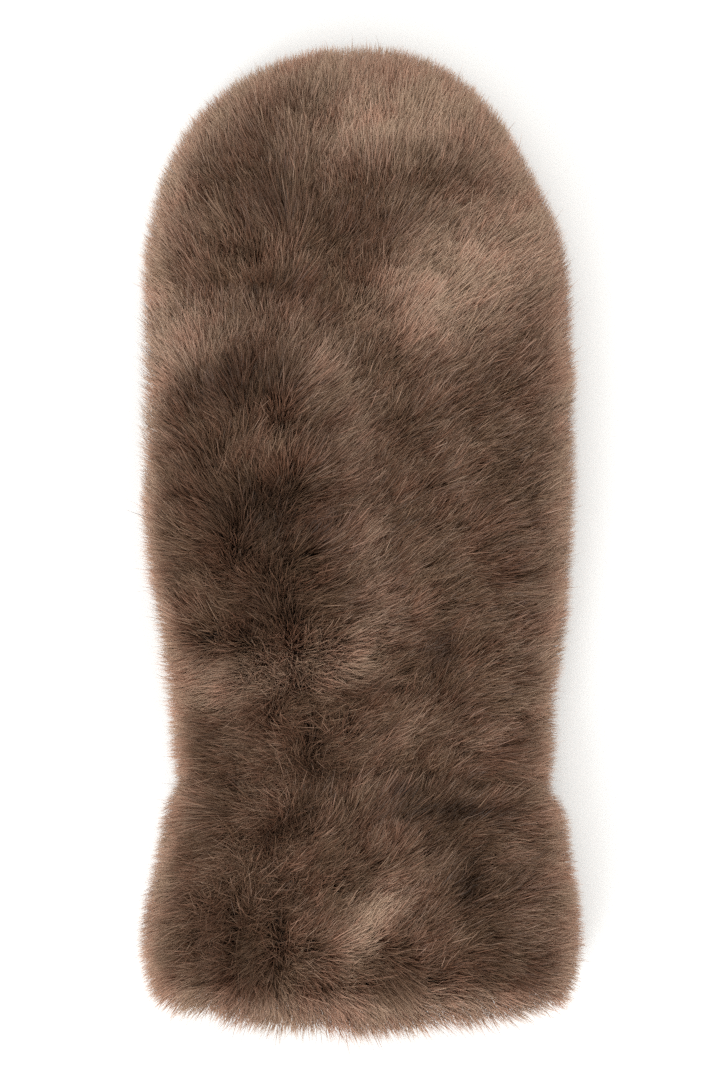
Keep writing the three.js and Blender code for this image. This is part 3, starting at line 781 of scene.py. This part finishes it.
def fur_material(name):
    material = bpy.data.materials.new(name)
    material.use_nodes = True
    nodes, links = material.node_tree.nodes, material.node_tree.links
    shader = nodes["Principled BSDF"]
    shader.inputs["Roughness"].default_value = 0.38
    shader.inputs["Specular IOR Level"].default_value = 0.2
    chart = nodes.new("ShaderNodeUVMap")
    chart.uv_map = "OFBake"
    split = nodes.new("ShaderNodeSeparateXYZ")
    links.new(chart.outputs["UV"], split.inputs["Vector"])
    along = ramp(nodes, (
        (0.0, (0.062, 0.032, 0.019)),
        (0.40, (0.185, 0.101, 0.064)),
        (0.80, (0.340, 0.205, 0.137)),
        (1.0, (0.53, 0.36, 0.245)),
    ))
    # the tone holds each hair's random shade and also the painted sheen, painted shade and painted rim
    # light; the pale, greyer top of this ramp is the colour of the painted sheen and the painted rim light
    shade = ramp(nodes, (
        (0.0, (0.100, 0.090, 0.083)),
        (0.5, (0.420, 0.380, 0.355)),
        (1.0, (1.26, 1.36, 1.46)),
    ))
    bands = nodes.new("ShaderNodeMath")
    bands.operation = "MULTIPLY"
    bands.inputs[1].default_value = DYES
    links.new(split.outputs["Y"], bands.inputs[0])
    up_the_hair = nodes.new("ShaderNodeMath")
    up_the_hair.operation = "FRACT"
    links.new(bands.outputs[0], up_the_hair.inputs[0])
    links.new(up_the_hair.outputs[0], along.inputs["Fac"])
    links.new(split.outputs["X"], shade.inputs["Fac"])
    mix = nodes.new("ShaderNodeMix")
    mix.data_type = "RGBA"
    mix.blend_type = "MULTIPLY"
    mix.inputs["Factor"].default_value = 1.0
    links.new(along.outputs["Color"], mix.inputs["A"])
    links.new(shade.outputs["Color"], mix.inputs["B"])
    dyed = ramp(nodes, (
        (0.0, (1.07, 0.965, 0.94)),
        (1 / 3, (1.0, 1.0, 1.0)),
        (2 / 3, (0.975, 0.995, 0.96)),
    ))
    dyed.color_ramp.interpolation = "CONSTANT"
    links.new(split.outputs["Y"], dyed.inputs["Fac"])
    tint = nodes.new("ShaderNodeMix")
    tint.data_type = "RGBA"
    tint.blend_type = "MULTIPLY"
    tint.inputs["Factor"].default_value = 1.0
    links.new(mix.outputs["Result"], tint.inputs["A"])
    links.new(dyed.outputs["Color"], tint.inputs["B"])
    links.new(tint.outputs["Result"], shader.inputs["Base Color"])
    return material


brown_fur = fur_material("brown_fur")
print("fur material:", brown_fur.name)

# %% [markdown]
# ## The fur of each panel
# The hair is grown panel by panel, from the fingertips down to the hem, so that each piece stays small
# enough to handle. The free fur covers the back and both sides. Underneath, the mitten's own weight has
# pressed it flat, so there it is short and lies along the surface.

# %% Free fur over the back, the sides and the cuff
BLADE_WIDTH = 0.24 * MM
FREE_PILE = PILE + 2.4 * MM  # a few hairs reach the full pile, and most stop short of it
REACH = 7.2 * MM
THIN = 1.0


def side_weight(roots, out):
    """Fewer hairs low at the sides, where they are hidden."""
    return np.clip(1.25 + out[..., 2], 0.35, 1.1)


def dress(name, node, roots, out, comb, rng, pile, reach, seed):
    rim = smooth(1 - out[:, 2], 0.02, 0.28)  # 0 on top, 1 at the sides and the hem
    spine, tuft_tone, dye = grow(roots, out, comb, rim, rng, pile, reach, seed)
    seen = spine[:, 1:].mean(axis=1)  # the outer half of a hair is the part that shows
    # the patch chart's painted sheen and painted shade go into the tone here, and the hairs at the sides
    # and the hem are painted paler by 0.55 of the rim: painted light, as if it shone through the thin
    # fringe at the outline
    tone = 0.48 + spots(seen, SHEEN_AND_SHADE_PATCHES) * (1 - 0.6 * rim) + tuft_tone + 0.55 * rim
    tone += 0.13 * rng.normal(size=len(roots))
    width = BLADE_WIDTH / math.sqrt(THIN) * (1 - 0.3 * rim)
    piece = blades(name, spine, out, width, tone, dye, brown_fur, rng)
    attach(piece, "root")
    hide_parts(node)
    print(name, len(roots), "hairs,", 2 * len(roots), "triangles")
    return piece


def free_fur(name, node, count, at_range, seed):
    roots, out, rng = scatter(
        hand_point, int(count * THIN), at_range, (-0.30 * math.pi, 1.30 * math.pi), seed, side_weight)
    hem = smooth(HEM_Y + 5 * MM - (roots[:, 1] - MIDDLE[1]), 0, 5 * MM)[:, None]
    out = unit(out + hem * np.array([0, -0.9, 0]))
    from_wrist = (roots[:, 1] - MIDDLE[1] - WRIST_Y) / (5 * MM)
    pile = FREE_PILE * (1 - 0.12 * np.exp(-from_wrist ** 2) + spots(roots, TRIMS))
    return dress(name, node, roots, out, comb_at(roots), rng, pile, REACH, seed)


HAIRS = 96000
free_fur("fur_fingertips", "back_panel", HAIRS, (0.02, 0.995), 21)
free_fur("fur_knuckles", "back_panel", HAIRS, (-0.34, 0.02), 22)
free_fur("fur_back_of_hand", "back_panel", HAIRS, (wrist_at, -0.34), 23)
free_fur("fur_cuff", "cuff", HAIRS, (-1.0, wrist_at), 24)


# %% Pressed fur underneath
def pressed_fur(name, node, count, at_range, seed):
    roots, out, rng = scatter(
        hand_point, int(count * THIN), at_range, (1.28 * math.pi, 1.72 * math.pi), seed)
    comb = np.zeros_like(roots)
    comb[:, 0] = 0.7 * (roots[:, 0] - MIDDLE[0]) / HAND_HALF
    comb[:, 1] = 0.8 * np.sign(roots[:, 1] - MIDDLE[1] - WRIST_Y)
    return dress(name, node, roots, out, comb, rng, PRESSED_PILE, 0.8 * REACH, seed)


pressed_fur("fur_palm", "palm_panel", 30000, (wrist_at, 0.98), 25)
pressed_fur("fur_under_cuff", "cuff", 12000, (-1.0, wrist_at), 26)


# %% Fur of the thumb
def thumb_fur(name, node, count, seed):
    roots, out, rng = scatter(
        thumb_point, int(count * THIN), (-0.85, 0.99), (0.45 * math.pi, 2.0 * math.pi), seed)
    x, y = roots[:, 0] - MIDDLE[0], roots[:, 1] - MIDDLE[1]
    outside = roots[:, 2] < palm_height(x, y) - 0.5 * MM
    roots, out = roots[outside], out[outside]
    level = np.hypot(out[:, 0], out[:, 1])
    pile = PRESSED_PILE + (THUMB_SIDE_PILE + 1.5 * MM - PRESSED_PILE) * level ** 2
    comb = np.zeros_like(roots) + np.array([-0.75, 0.45, 0])
    return dress(name, node, roots, out, comb, rng, pile, 0.7 * REACH, seed)


thumb_fur("fur_thumb", "thumb", 30000, 27)
